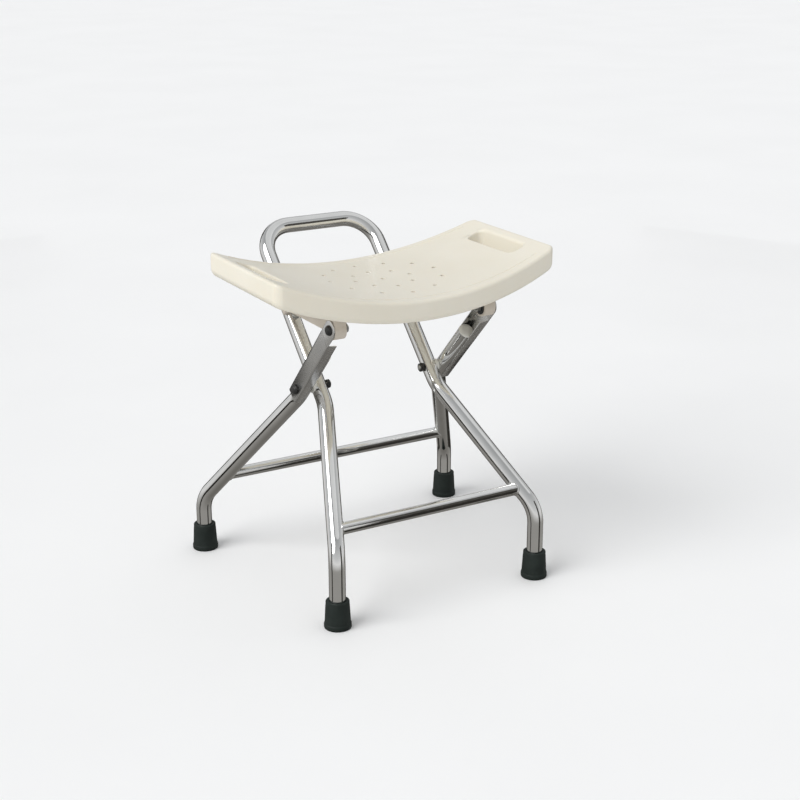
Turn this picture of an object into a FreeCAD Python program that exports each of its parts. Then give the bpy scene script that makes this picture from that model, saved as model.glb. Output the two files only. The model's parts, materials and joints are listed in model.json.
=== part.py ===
import FreeCAD, Part
import math
import os

import Sketcher

# Folding shower stool: a dished plastic seat on two crossing chromed tube frames.
#
# Frame of the model: +Z up, floor at z = 0, +X along the length of the seat,
# +Y towards the carrying handle at the back.  Millimetres and degrees throughout.
# The right-hand (+X) half is modelled and the left-hand half mirrors it.

V = FreeCAD.Vector
doc = FreeCAD.newDocument("shower_stool")

# ---------------------------------------------------------------- driving sizes
SIZES = {
    # steel tube
    "tube_radius": 12.7,
    "tube_wall": 1.2,
    "brace_radius": 9.5,
    "brace_wall": 1.0,
    # front frame, one tube from foot to handle to foot
    "front_foot_half": 178.5,
    "front_foot_back": -199.5,
    "front_bend_height": 117,
    "rail_half": 101.5,
    "splay_back": -20,
    "splay_height": 287.5,
    "handle_back": 207.8,
    "handle_height": 523,
    "front_brace_height": 144,
    # rear frame
    "rear_foot_half": 235,
    "rear_foot_back": 169,
    "rear_bend_height": 90,
    "rear_brace_height": 137.3,
    # pivots
    "cross_back": 2,
    "cross_height": 311.5,
    "seat_pivot_back": -116,
    "seat_pivot_height": 436.5,
    "bolt_radius": 4,
    "pivot_play": 0.05,
    "face_play": 0.3,
    # pressed channel between the two pivots
    "channel_wall": 1.8,
    "channel_depth": 16,
    # rubber feet
    "foot_radius": 21,
    "foot_top_radius": 17.5,
    "foot_height": 44,
    "foot_floor": 8,
    "foot_washer": 1.5,
    # seat
    "seat_half_length": 241,
    "seat_end_half_depth": 119,
    "seat_mid_half_depth": 144,
    "seat_back": -25.4,
    "seat_mid_height": 477,
    "seat_dish": 49,
    "seat_thickness": 34,
    "seat_wall": 3,
    "seat_corner": 13,
    "seat_top_round": 6,
    "seat_under_round": 9,
    "panel_inset": 17,
    "panel_drop": 1.5,
    "slot_centre": 208,
    "slot_half_width": 15,
    "slot_half_length": 64,
    "slot_mouth": 4,
    "drain_radius": 3.3,
    "drain_outer_ring": 92,
    "drain_inner_ring": 48,
    "drain_outer_count": 12,
    "drain_inner_count": 8,
    # rails and saddles under the seat
    "seat_rail_inner": 120.9,
    "seat_rail_width": 19,
    "seat_rail_bottom": 432,
    "seat_rail_end": 78,
    "seat_lug_radius": 15,
    "saddle_half_width": 16.5,
    "saddle_start": 92,
    "saddle_end": 111,
}

sheet = doc.addObject("Spreadsheet::Sheet", "Sizes")
for row, (alias, value) in enumerate(SIZES.items(), start=1):
    sheet.set(f"A{row}", alias)
    sheet.set(f"B{row}", str(value))
    sheet.setAlias(f"B{row}", alias)
doc.recompute()


def size(alias):
    """Value of one cell of the sheet, in millimetres."""
    return float(getattr(sheet, alias))


def bind(item, **expressions):
    """Drive properties of an object from cells of the sheet."""
    for name, expression in expressions.items():
        item.setExpression(name, expression)


# ---------------------------------------------------------------- shared helpers
PARTS = []


def node(item, name):
    """Give a finished sub-part its name and put it on the list of parts."""
    item.Label = name
    PARTS.append(item)
    return item


def cut(base, tools, name):
    """Base solid with every tool taken away."""
    result = base
    for count, tool in enumerate(tools):
        step = doc.addObject("Part::Cut", f"{name}_cut_{count}")
        step.Base = result
        step.Tool = tool
        result = step
    return result


def join(items, name):
    """One solid from several that overlap."""
    fuse = doc.addObject("Part::MultiFuse", name)
    fuse.Shapes = items
    fuse.Refine = True
    return fuse


def group(items, name):
    """Several separate solids in one node."""
    compound = doc.addObject("Part::Compound", name)
    compound.Links = items
    return compound


def mirror(item, name):
    """Left-hand copy of a right-hand piece."""
    copy = doc.addObject("Part::Mirroring", name)
    copy.Source = item
    copy.Normal = V(1, 0, 0)
    return copy


def both_sides(item, name):
    """The right-hand piece and its left-hand copy as one node."""
    return node(group([item, mirror(item, f"{name}_left")], name), name)


def cross_rod(name, radius, start, end, back, height):
    """Cylinder along +X from start to end; radius may be an expression."""
    rod = doc.addObject("Part::Cylinder", name)
    bind(rod, Radius=radius)
    rod.Height = end - start
    rod.Placement = FreeCAD.Placement(V(start, back, height), FreeCAD.Rotation(V(0, 1, 0), 90))
    return rod


def hexagon(name, radius, start, end, back, height):
    """Six-sided bar along +X, for bolt heads and nuts."""
    prism = doc.addObject("Part::Prism", name)
    prism.Polygon = 6
    prism.Circumradius = radius
    prism.Height = end - start
    prism.Placement = FreeCAD.Placement(V(start, back, height), FreeCAD.Rotation(V(0, 1, 0), 90))
    return prism


def rounded_path(points, radii):
    """Wire through points, straight between them, with an arc at each inner point."""
    edges = []
    last = points[0]
    for before, corner, after, radius in zip(points, points[1:], points[2:], radii):
        into = (corner - before).normalize()
        out = (after - corner).normalize()
        turn = into.getAngle(out)
        reach = radius * math.tan(turn / 2)
        start = corner - into * reach
        end = corner + out * reach
        inward = (out - into).normalize()
        middle = corner + inward * (radius / math.cos(turn / 2) - radius)
        edges.append(Part.LineSegment(last, start).toShape())
        edges.append(Part.Arc(start, middle, end).toShape())
        last = end
    edges.append(Part.LineSegment(last, points[-1]).toShape())
    return Part.Wire(edges)


def swept(name, path, start, heading, radius):
    """Round bar of the given radius expression along a path."""
    ring = doc.addObject("Part::Circle", f"{name}_ring")
    bind(ring, Radius=radius)
    ring.Placement = FreeCAD.Placement(start, FreeCAD.Rotation(V(0, 0, 1), heading))
    bar = doc.addObject("Part::Sweep", name)
    bar.Sections = [ring]
    bar.Spine = (path, [f"Edge{number + 1}" for number in range(len(path.Shape.Edges))])
    bar.Solid = True
    bar.Frenet = False
    return bar


def bent_tube(name, points, radii):
    """Outer bar and bore of a bent tube; the tube is the first less the second."""
    path = doc.addObject("Part::Feature", f"{name}_path")
    path.Shape = rounded_path(points, radii)
    heading = points[1] - points[0]
    bar = swept(f"{name}_bar", path, points[0], heading, "Sizes.tube_radius")
    bore = swept(f"{name}_bore", path, points[0], heading, "Sizes.tube_radius - Sizes.tube_wall")
    return bar, bore


def side_plate(name, outline, start, thickness):
    """Plate in the side plane: outline of (back, height) pairs, thickness along +X."""
    corners = [V(start, back, height) for back, height in outline]
    profile = doc.addObject("Part::Feature", f"{name}_outline")
    profile.Shape = Part.makePolygon(corners + corners[:1])
    plate = doc.addObject("Part::Extrusion", name)
    plate.Base = profile
    plate.DirMode = "Custom"
    plate.Dir = V(1, 0, 0)
    plate.LengthFwd = thickness
    plate.Solid = True
    return plate


def along(start, end, height):
    """Point at the given height on the straight line from start to end."""
    share = (height - start.z) / (end.z - start.z)
    return start + (end - start) * share


def origin_plane(body, role):
    """One of the three planes of a body's own origin."""
    return next(plane for plane in body.Origin.OriginFeatures if plane.Role == role)


def new_sketch(body, role, name):
    """Empty sketch on an origin plane of its body."""
    sketch = body.newObject("Sketcher::SketchObject", name)
    sketch.AttachmentSupport = [(origin_plane(body, role), "")]
    sketch.MapMode = "FlatFace"
    return sketch


def drive(sketch, name, expression):
    """Bind the sketch's newest constraint to the sheet."""
    sketch.renameConstraint(sketch.ConstraintCount - 1, name)
    sketch.setExpression(f"Constraints.{name}", expression)


# ---------------------------------------------------------------- front frame
tube_radius = size("tube_radius")
tube_end = size("foot_floor") + size("foot_washer")
front_foot = V(size("front_foot_half"), size("front_foot_back"), tube_end)
front_bend = V(front_foot.x, front_foot.y, size("front_bend_height"))
front_splay = V(size("rail_half"), size("splay_back"), size("splay_height"))
handle_corner = V(size("rail_half"), size("handle_back"), size("handle_height"))
cross_pivot = V(0, size("cross_back"), size("cross_height"))
seat_pivot = V(0, size("seat_pivot_back"), size("seat_pivot_height"))

FOOT_BEND = 55
SPLAY_BEND = 90
HANDLE_BEND = 52


def left_of(point):
    """Mirror image of a right-hand point."""
    return V(-point.x, point.y, point.z)


right_run = [front_foot, front_bend, front_splay, handle_corner]
front_points = right_run + [left_of(point) for point in reversed(right_run)]
front_radii = [FOOT_BEND, SPLAY_BEND, HANDLE_BEND]
front_bar, front_bore = bent_tube("front_frame", front_points, front_radii + front_radii[::-1])

# The stop screws sit square to the tubes, just in front of the saddles.
rail_heading = (handle_corner - front_splay).normalize()
rail_square = V(0, -rail_heading.z, rail_heading.y)
saddle_start = along(front_splay, handle_corner, front_splay.z
                     + (size("saddle_start") - front_splay.y) * rail_heading.z / rail_heading.y)
STOP_HEAD_RADIUS = 6.5
STOP_HEAD_HEIGHT = 4.5
STOP_SHANK_RADIUS = 3
STOP_SHANK_START = 5
stop_point = saddle_start - rail_heading * (STOP_HEAD_RADIUS + size("face_play"))


def stop_cylinder(name, radius, start, end):
    """Cylinder on the axis of the right-hand stop screw, measured from the tube's centre."""
    cylinder = doc.addObject("Part::Cylinder", name)
    cylinder.Radius = radius
    cylinder.Height = end - start
    turn = FreeCAD.Rotation(V(0, 0, 1), rail_square)
    cylinder.Placement = FreeCAD.Placement(stop_point + rail_square * start, turn)
    return cylinder


# Every hole for a pivot bolt is cut from HOLE_START to HOLE_END along X.
HOLE_START = 60
HOLE_END = 160
stop_hole = stop_cylinder("stop_hole", STOP_SHANK_RADIUS, STOP_SHANK_START, tube_radius + 2)
cross_hole = cross_rod("cross_hole", "Sizes.bolt_radius", HOLE_START, HOLE_END,
                       cross_pivot.y, cross_pivot.z)
right_holes = [stop_hole, cross_hole]
left_holes = [mirror(hole, f"{hole.Name}_left") for hole in right_holes]
node(cut(front_bar, [front_bore] + right_holes + left_holes, "front_frame_tube"), "front_frame_tube")

stop_head = stop_cylinder("stop_head", STOP_HEAD_RADIUS, tube_radius, tube_radius + STOP_HEAD_HEIGHT)
stop_shank = stop_cylinder("stop_shank", STOP_SHANK_RADIUS, STOP_SHANK_START, tube_radius + 1)
stop_seat = cut(stop_head, [front_bar], "stop_seat")
both_sides(join([stop_seat, stop_shank], "stop_screw"), "seat_stop_screws")

# ---------------------------------------------------------------- rear frame
link = seat_pivot - cross_pivot
link_length = link.Length
link_heading = link / link_length
link_tilt = math.degrees(math.atan2(-link_heading.y, link_heading.z))

TUBE_GAP = 0.8
END_ABOVE_PIVOT = 100
BEND_BELOW_PIVOT = 25
CROSS_BEND = 55
leg_half = size("rail_half") + 2 * tube_radius + TUBE_GAP
leg_top = cross_pivot + V(leg_half, 0, 0) + link_heading * END_ABOVE_PIVOT
leg_splay = cross_pivot + V(leg_half, 0, 0) - link_heading * BEND_BELOW_PIVOT
rear_bend = V(size("rear_foot_half"), size("rear_foot_back"), size("rear_bend_height"))
rear_foot = V(rear_bend.x, rear_bend.y, tube_end)
rear_points = [rear_foot, rear_bend, leg_splay, leg_top]
rear_bar, rear_bore = bent_tube("rear_leg", rear_points, [FOOT_BEND, CROSS_BEND])
turning_hole = cross_rod("turning_hole", "Sizes.bolt_radius + Sizes.pivot_play", HOLE_START, HOLE_END,
                         cross_pivot.y, cross_pivot.z)
rear_leg = node(cut(rear_bar, [rear_bore, turning_hole], "rear_leg_right"), "rear_leg_right")
node(mirror(rear_leg, "rear_leg_left"), "rear_leg_left")

# ---------------------------------------------------------------- cross braces


def brace(name, start, end, height, bar):
    """Cross tube between a pair of legs, coped to the leg tubes at both ends."""
    point = along(start, end, height)
    outer = cross_rod(f"{name}_bar", "Sizes.brace_radius", -point.x, point.x, point.y, point.z)
    inner = cross_rod(
        f"{name}_bore", "Sizes.brace_radius - Sizes.brace_wall", -point.x, point.x, point.y, point.z)
    legs = [bar, mirror(bar, f"{name}_other_leg")]
    return node(cut(outer, [inner] + legs, name), name)


brace("front_brace", front_bend, front_splay, size("front_brace_height"), front_bar)
brace("rear_brace", rear_bend, leg_splay, size("rear_brace_height"), rear_bar)

# ---------------------------------------------------------------- link channels
wall = size("channel_wall")
web_inner = leg_half + tube_radius
web_outer = web_inner + wall
CHANNEL_FIT = 0.1
channel_half = tube_radius + CHANNEL_FIT + wall
CHANNEL_FOOT = 20
FLANGE_END = 26


def channel_box(name, start, end, half_width, low, high):
    """Box in the channel's own frame: X across, Z along the link from the crossing pivot."""
    box = doc.addObject("Part::Box", name)
    box.Length = end - start
    box.Width = 2 * half_width
    box.Height = high - low
    turn = FreeCAD.Rotation(V(1, 0, 0), link_tilt)
    corner = cross_pivot + turn.multVec(V(start, -half_width, low))
    box.Placement = FreeCAD.Placement(corner, turn)
    return box


channel_inner = web_outer - size("channel_depth")
flanges = channel_box("channel_flanges", channel_inner, web_outer, channel_half,
                      -CHANNEL_FOOT, link_length - FLANGE_END)
tongue = channel_box("channel_tongue", web_inner, web_outer, channel_half, 0, link_length)
tip = cross_rod("channel_tip", f"Sizes.tube_radius + {CHANNEL_FIT} + Sizes.channel_wall",
                web_inner, web_outer, seat_pivot.y, seat_pivot.z)
trough = channel_box("channel_trough", channel_inner - 1, web_inner, channel_half - wall,
                     -CHANNEL_FOOT - 1, link_length)
seat_bolt_hole = cross_rod("seat_bolt_hole", "Sizes.bolt_radius", HOLE_START, HOLE_END,
                           seat_pivot.y, seat_pivot.z)
channel_blank = join([flanges, tongue, tip], "channel_blank")
channel = node(cut(channel_blank, [trough, turning_hole, seat_bolt_hole, rear_bar], "link_channel_right"),
               "link_channel_right")
node(mirror(channel, "link_channel_left"), "link_channel_left")

# ---------------------------------------------------------------- pivot fasteners
HEAD_RADIUS = 6.5
HEAD_HEIGHT = 3
NUT_RADIUS = 7.5
NUT_HEIGHT = 6
CAP_RADIUS = 8
CAP_HEIGHT = 5.5
CAP_DOME = 3
CAP_LIFT = 0.1
TIP_BEYOND_NUT = 2
play = size("face_play")


def bolt(name, tip_x, head_x, pivot):
    """Hexagon-headed bolt along X with its head outermost."""
    shank = cross_rod(f"{name}_shank", "Sizes.bolt_radius", tip_x, head_x + 1, pivot.y, pivot.z)
    head = hexagon(f"{name}_head", HEAD_RADIUS, head_x, head_x + HEAD_HEIGHT, pivot.y, pivot.z)
    return join([shank, head], name)


def nut(name, start, pivot):
    """Hexagon nut along X on the bolt."""
    blank = hexagon(f"{name}_blank", NUT_RADIUS, start, start + NUT_HEIGHT, pivot.y, pivot.z)
    thread = cross_rod(f"{name}_thread", "Sizes.bolt_radius", start - 1, start + NUT_HEIGHT + 1,
                       pivot.y, pivot.z)
    return cut(blank, [thread], name)


def cap(name, head_x, pivot):
    """Domed plastic cap pressed over a bolt head."""
    crown = head_x + CAP_HEIGHT
    body = cross_rod(f"{name}_body", str(CAP_RADIUS), head_x + CAP_LIFT, crown, pivot.y, pivot.z)
    dome = doc.addObject("Part::Fillet", f"{name}_dome")
    dome.Base = body
    doc.recompute()
    rims = [number + 1 for number, edge in enumerate(body.Shape.Edges)
            if edge.CenterOfMass.x > crown - 0.1 and edge.Closed]
    dome.Edges = [(number, CAP_DOME, CAP_DOME) for number in rims]
    socket = hexagon(f"{name}_socket", HEAD_RADIUS, head_x, head_x + HEAD_HEIGHT, pivot.y, pivot.z)
    return cut(dome, [socket], name)


cross_head = web_outer + play
cross_nut = size("rail_half") - tube_radius - NUT_HEIGHT
cross_tip = cross_nut - TIP_BEYOND_NUT
both_sides(bolt("frame_pivot_bolt", cross_tip, cross_head, cross_pivot), "frame_pivot_bolts")
both_sides(nut("frame_pivot_nut", cross_nut, cross_pivot), "frame_pivot_nuts")
both_sides(cap("frame_pivot_cap", cross_head, cross_pivot), "frame_pivot_caps")

# Nylon spacer between the crossing tubes, hollowed to sit on the front tube.
SPACER_RADIUS = 10
spacer_face = size("rail_half") + tube_radius + TUBE_GAP - play
spacer_blank = cross_rod("spacer_blank", str(SPACER_RADIUS), size("rail_half"), spacer_face,
                         cross_pivot.y, cross_pivot.z)
both_sides(cut(spacer_blank, [cross_hole, front_bar], "frame_pivot_spacer"), "frame_pivot_spacers")

rail_inner = size("seat_rail_inner")
WASHER_RADIUS = 12
WASHER_THICKNESS = 1.5
washer_face = rail_inner - play
washer_start = washer_face - WASHER_THICKNESS
washer_blank = cross_rod("washer_blank", str(WASHER_RADIUS), washer_start, washer_face,
                         seat_pivot.y, seat_pivot.z)
both_sides(cut(washer_blank, [seat_bolt_hole], "seat_pivot_washer"), "seat_pivot_washers")
seat_nut = washer_start - NUT_HEIGHT
both_sides(bolt("seat_pivot_bolt", seat_nut - TIP_BEYOND_NUT, web_outer, seat_pivot), "seat_pivot_bolts")
both_sides(nut("seat_pivot_nut", seat_nut, seat_pivot), "seat_pivot_nuts")
both_sides(cap("seat_pivot_cap", web_outer, seat_pivot), "seat_pivot_caps")

# ---------------------------------------------------------------- seat
half_length = size("seat_half_length")
dish = size("seat_dish")
dish_radius = (half_length ** 2 + dish ** 2) / (2 * dish)
dish_centre = size("seat_mid_height") + dish_radius
bow = size("seat_mid_half_depth") - size("seat_end_half_depth")
bow_radius = (half_length ** 2 + bow ** 2) / (2 * bow)
bow_centre = size("seat_mid_half_depth") - bow_radius
seat_back = size("seat_back")
DISH_RADIUS = "((Sizes.seat_half_length ^ 2 + Sizes.seat_dish ^ 2) / (2 * Sizes.seat_dish))"


def add_band(body, name, above, below):
    """Pad of the dished band from `above` over the seating curve to `below` under it."""
    sketch = new_sketch(body, "XZ_Plane", f"{name}_profile")
    reach = half_length + 10
    radii = [dish_radius - above, dish_radius + below]
    ends = []
    for radius in radii:
        half_angle = math.asin(reach / radius)
        down = -math.pi / 2
        circle = Part.Circle(V(0, dish_centre, 0), V(0, 0, 1), radius)
        sketch.addGeometry(Part.ArcOfCircle(circle, down - half_angle, down + half_angle))
        ends.append(dish_centre - math.sqrt(radius ** 2 - reach ** 2))
    for side in (-1, 1):
        sketch.addGeometry(Part.LineSegment(V(side * reach, ends[0], 0), V(side * reach, ends[1], 0)))
    for arc in (0, 1):
        sketch.addConstraint(Sketcher.Constraint("Coincident", 2, arc + 1, arc, 1))
        sketch.addConstraint(Sketcher.Constraint("Coincident", 3, arc + 1, arc, 2))
        sketch.addConstraint(Sketcher.Constraint("PointOnObject", arc, 3, -2))
        sketch.addConstraint(Sketcher.Constraint("DistanceY", -1, 1, arc, 3, dish_centre))
        drive(sketch, f"centre{arc}", f"Sizes.seat_mid_height + {DISH_RADIUS}")
    sketch.addConstraint(Sketcher.Constraint("Vertical", 2))
    sketch.addConstraint(Sketcher.Constraint("Vertical", 3))
    sketch.addConstraint(Sketcher.Constraint("DistanceX", 0, 1, 0, 2, 2 * reach))
    drive(sketch, "length", "2 * Sizes.seat_half_length + 20")
    for arc, shift in enumerate((-above, below)):
        sketch.addConstraint(Sketcher.Constraint("Radius", arc, radii[arc]))
        drive(sketch, f"radius{arc}", f"{DISH_RADIUS} + {shift}")
    pad = body.newObject("PartDesign::Pad", f"{name}_band")
    pad.Profile = sketch
    pad.Midplane = True
    pad.Length = 2 * size("seat_mid_half_depth") + 4 * abs(seat_back)
    sketch.Visibility = False
    return pad


def trim_outline(body, name, inset, corner):
    """Pocket away everything outside the barrel-shaped plan outline."""
    sketch = new_sketch(body, "XY_Plane", f"{name}_outline")
    reach = half_length - inset
    radius = bow_radius - inset
    span = math.asin(reach / radius)
    edge = math.sqrt(radius ** 2 - reach ** 2)
    for side in (1, -1):
        centre = V(0, seat_back + side * bow_centre, 0)
        middle = side * math.pi / 2
        circle = Part.Circle(centre, V(0, 0, 1), radius)
        sketch.addGeometry(Part.ArcOfCircle(circle, middle - span, middle + span))
    far = edge + bow_centre
    for side in (-1, 1):
        low = V(side * reach, seat_back - far, 0)
        high = V(side * reach, seat_back + far, 0)
        sketch.addGeometry(Part.LineSegment(low, high))
    # Each straight end meets the back arc and the front arc at a rounded corner.
    sketch.addConstraint(Sketcher.Constraint("Coincident", 2, 2, 0, 2))
    sketch.addConstraint(Sketcher.Constraint("Coincident", 3, 2, 0, 1))
    sketch.addConstraint(Sketcher.Constraint("Coincident", 2, 1, 1, 1))
    sketch.addConstraint(Sketcher.Constraint("Coincident", 3, 1, 1, 2))
    for line, arc in ((2, 0), (3, 0), (2, 1), (3, 1)):
        sketch.fillet(line, arc, *corner_picks(line, arc, reach, far), corner)
    rim = 4 * half_length
    corners = [V(-rim, -rim, 0), V(rim, -rim, 0), V(rim, rim, 0), V(-rim, rim, 0)]
    for start, end in zip(corners, corners[1:] + corners[:1]):
        sketch.addGeometry(Part.LineSegment(start, end))
    trim = body.newObject("PartDesign::Pocket", f"{name}_trim")
    trim.Profile = sketch
    trim.Type = 1
    trim.Midplane = True
    sketch.Visibility = False
    return trim


def corner_picks(line, arc, reach, far):
    """Points on the two curves near the corner that is to be rounded."""
    side = -1 if line == 2 else 1
    end = 1 if arc == 0 else -1
    on_line = V(side * reach, seat_back + end * (far - 30), 0)
    across = reach - 30
    radius = math.hypot(reach, far - bow_centre)
    on_arc = V(side * across, seat_back + end * (bow_centre + math.sqrt(radius ** 2 - across ** 2)), 0)
    return on_line, on_arc


def seat_block(name, above, below, inset, corner):
    """Dished block with the seat's outline, grown or shrunk by the given amounts."""
    body = doc.addObject("PartDesign::Body", name)
    add_band(body, name, above, below)
    trim = trim_outline(body, name, inset, corner)
    body.Tip = trim
    doc.recompute()
    return body


# Upright cutting tools start below the seat and reach above it.
TOOL_LOW = 400
TOOL_TALL = 200


def plan_prism(name, half_x, half_y, centre_x, radius):
    """Upright rounded rectangle through the whole seat, for a hand slot."""
    box = doc.addObject("Part::Box", f"{name}_box")
    box.Length = 2 * half_x
    box.Width = 2 * half_y
    box.Height = TOOL_TALL
    low_corner = V(centre_x - half_x, seat_back - half_y, TOOL_LOW)
    box.Placement = FreeCAD.Placement(low_corner, FreeCAD.Rotation())
    doc.recompute()
    rounded = doc.addObject("Part::Fillet", name)
    rounded.Base = box
    upright = [number + 1 for number, edge in enumerate(box.Shape.Edges)
               if abs(edge.tangentAt(edge.FirstParameter).z) > 0.9]
    rounded.Edges = [(number, radius, radius) for number in upright]
    return rounded


def drain_pins(name, radius):
    """Upright pins at every drain hole: two rings and one in the middle."""
    spots = [(0, 0)]
    for ring, count in (("drain_outer_ring", "drain_outer_count"),
                        ("drain_inner_ring", "drain_inner_count")):
        total = int(size(count))
        for step in range(total):
            angle = 2 * math.pi * step / total
            spots.append((size(ring) * math.cos(angle), size(ring) * math.sin(angle)))
    pins = []
    for number, (x, y) in enumerate(spots):
        pin = doc.addObject("Part::Cylinder", f"{name}_{number}")
        bind(pin, Radius=radius)
        pin.Height = TOOL_TALL
        pin.Placement = FreeCAD.Placement(V(x, seat_back + y, TOOL_LOW), FreeCAD.Rotation())
        pins.append(pin)
    return group(pins, name)


thickness = size("seat_thickness")
seat_wall = size("seat_wall")
panel_drop = size("panel_drop")
corner = size("seat_corner")
block = seat_block("seat_block", 0, thickness, 0, corner)


def outline_edges(shape, upper):
    """Numbers of the edges round the top or the underside of the seat block."""
    found = []
    for number, edge in enumerate(shape.Edges):
        low = edge.valueAt(edge.FirstParameter)
        high = edge.valueAt(edge.LastParameter)
        if abs(low.x - high.x) < 0.01 and abs(low.y - high.y) < 0.01:
            continue
        point = edge.valueAt((edge.FirstParameter + edge.LastParameter) / 2)
        surface = dish_centre - math.sqrt(dish_radius ** 2 - point.x ** 2)
        if (point.z > surface - thickness / 3) == upper:
            found.append(f"Edge{number + 1}")
    return found


def round_edges(body, name, upper, radius):
    """Fillet round one outline of the seat block."""
    base = body.Tip
    fillet = body.newObject("PartDesign::Fillet", name)
    fillet.Base = (base, outline_edges(base.Shape, upper))
    bind(fillet, Radius=radius)
    body.Tip = fillet
    doc.recompute()


round_edges(block, "seat_top_edge", True, "Sizes.seat_top_round")
round_edges(block, "seat_under_edge", False, "Sizes.seat_under_round")

slot_half_width = size("slot_half_width")
slot_half_length = size("slot_half_length")
SLOT_CORNER = 11
slot = plan_prism("slot", slot_half_width, slot_half_length, size("slot_centre"), SLOT_CORNER)
slot_sleeve = plan_prism("slot_sleeve", slot_half_width + seat_wall, slot_half_length + seat_wall,
                         size("slot_centre"), SLOT_CORNER + seat_wall)
slots = [slot, mirror(slot, "slot_left")]
sleeves = [slot_sleeve, mirror(slot_sleeve, "slot_sleeve_left")]
drains = drain_pins("drains", "Sizes.drain_radius")
drain_sleeves = drain_pins("drain_sleeves", "Sizes.drain_radius + Sizes.seat_wall")

PANEL_CORNER = 10
SLOT_LAND = 14
CLEAR_ABOVE = 20
recess = seat_block("seat_recess", CLEAR_ABOVE, panel_drop, size("panel_inset"), PANEL_CORNER)
land = plan_prism("slot_land", half_length - size("slot_centre") + slot_half_width + SLOT_LAND,
                  size("seat_mid_half_depth"), half_length, PANEL_CORNER)
panel = cut(recess, [land, mirror(land, "slot_land_left")], "seat_panel_recess")

CAVITY_EASE = 2
cavity_inset = seat_wall + CAVITY_EASE
cavity_block = seat_block("seat_cavity", -(seat_wall + panel_drop), thickness - seat_wall,
                          cavity_inset, corner - cavity_inset)
cavity = cut(cavity_block, sleeves + [drain_sleeves], "seat_cavity_trimmed")


def mouth_edges(shape):
    """Numbers of the edges round the upper mouths of the two hand slots."""
    found = []
    for number, edge in enumerate(shape.Edges):
        point = edge.valueAt((edge.FirstParameter + edge.LastParameter) / 2)
        across = abs(abs(point.x) - size("slot_centre")) < slot_half_width + 0.1
        lengthwise = abs(point.y - seat_back) < slot_half_length + 0.1
        surface = dish_centre - math.sqrt(dish_radius ** 2 - point.x ** 2)
        if across and lengthwise and abs(point.z - surface) < 0.5:
            found.append(number + 1)
    return found


slotted = cut(block, slots, "seat_slotted")
doc.recompute()
eased = doc.addObject("Part::Fillet", "slot_mouths")
eased.Base = slotted
mouth_round = size("slot_mouth")
eased.Edges = [(number, mouth_round, mouth_round) for number in mouth_edges(slotted.Shape)]
node(cut(eased, [panel, drains, cavity], "seat_shell"), "seat_shell")

# ---------------------------------------------------------------- seat rails and saddles
SEAT_TOP = 520
RAIL_NOSE = 12
NOSE_RAKE = 12
HEEL_RAKE = 14
LUG_DROP = 4
LUG_BLEND = 16
rail_width = size("seat_rail_width")
rail_bottom = size("seat_rail_bottom")
rail_end = size("seat_rail_end")
rail_outline = [
    (seat_pivot.y - RAIL_NOSE, seat_pivot.z),
    (seat_pivot.y, rail_bottom - LUG_DROP),
    (seat_pivot.y + LUG_BLEND, rail_bottom),
    (rail_end, rail_bottom),
    (rail_end + HEEL_RAKE, SEAT_TOP),
    (seat_pivot.y - RAIL_NOSE - NOSE_RAKE, SEAT_TOP),
]
rail_plate = side_plate("seat_rail_plate", rail_outline, rail_inner, rail_width)
lug = cross_rod("seat_lug", "Sizes.seat_lug_radius", rail_inner, rail_inner + rail_width,
                seat_pivot.y, seat_pivot.z)
lug_hole = cross_rod("lug_hole", "Sizes.bolt_radius + Sizes.pivot_play", HOLE_START, HOLE_END,
                     seat_pivot.y, seat_pivot.z)
rail_blank = join([rail_plate, lug], "seat_rail_blank")

# Everything from the seat's underside upwards trims what is fixed below it.
FILLER_RISE = 60
FILLER_MARGIN = 15
seat_filler = seat_block("seat_filler", FILLER_RISE, thickness, -FILLER_MARGIN, corner)

SADDLE_LOW = 5
SADDLE_LIFT = 26
front_low = saddle_start + rail_square * SADDLE_LOW
front_high = saddle_start + rail_square * SADDLE_LIFT
rear_low = front_low + rail_heading * ((size("saddle_end") - front_low.y) / rail_heading.y)
saddle_outline = [
    (front_low.y, front_low.z),
    (front_high.y, front_high.z),
    (front_high.y, SEAT_TOP),
    (rear_low.y, SEAT_TOP),
    (rear_low.y, rear_low.z),
]
saddle_half = size("saddle_half_width")
saddle_inner = size("rail_half") - saddle_half
saddle_plate = side_plate("seat_saddle_plate", saddle_outline, saddle_inner, 2 * saddle_half)
GROOVE_LEAD = 60
groove = doc.addObject("Part::Cylinder", "saddle_groove")
bind(groove, Radius="Sizes.tube_radius + Sizes.face_play")
groove.Height = TOOL_TALL
groove.Placement = FreeCAD.Placement(
    saddle_start - rail_heading * GROOVE_LEAD, FreeCAD.Rotation(V(0, 0, 1), rail_heading))

# Self-tapping screws hold the rails and saddles up against the seat.
SCREW_RADIUS = 2
SCREW_HEAD_RADIUS = 4
SCREW_HEAD_HEIGHT = 2.5
SCREW_BITE = 2


def underside(x):
    """Height of the seat's underside at the given distance from the middle."""
    return dish_centre - math.sqrt((dish_radius + thickness) ** 2 - x ** 2)


def screw(name, x, back, bottom):
    """Upright screw from a counterbore at `bottom` into the lower skin of the seat."""
    top = underside(x) + SCREW_BITE
    head = doc.addObject("Part::Cylinder", f"{name}_head")
    head.Radius = SCREW_HEAD_RADIUS
    head.Height = SCREW_HEAD_HEIGHT
    head.Placement = FreeCAD.Placement(V(x, back, bottom), FreeCAD.Rotation())
    shank = doc.addObject("Part::Cylinder", f"{name}_shank")
    shank.Radius = SCREW_RADIUS
    shank.Height = top - bottom
    shank.Placement = FreeCAD.Placement(V(x, back, bottom), FreeCAD.Rotation())
    return join([head, shank], name)


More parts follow.
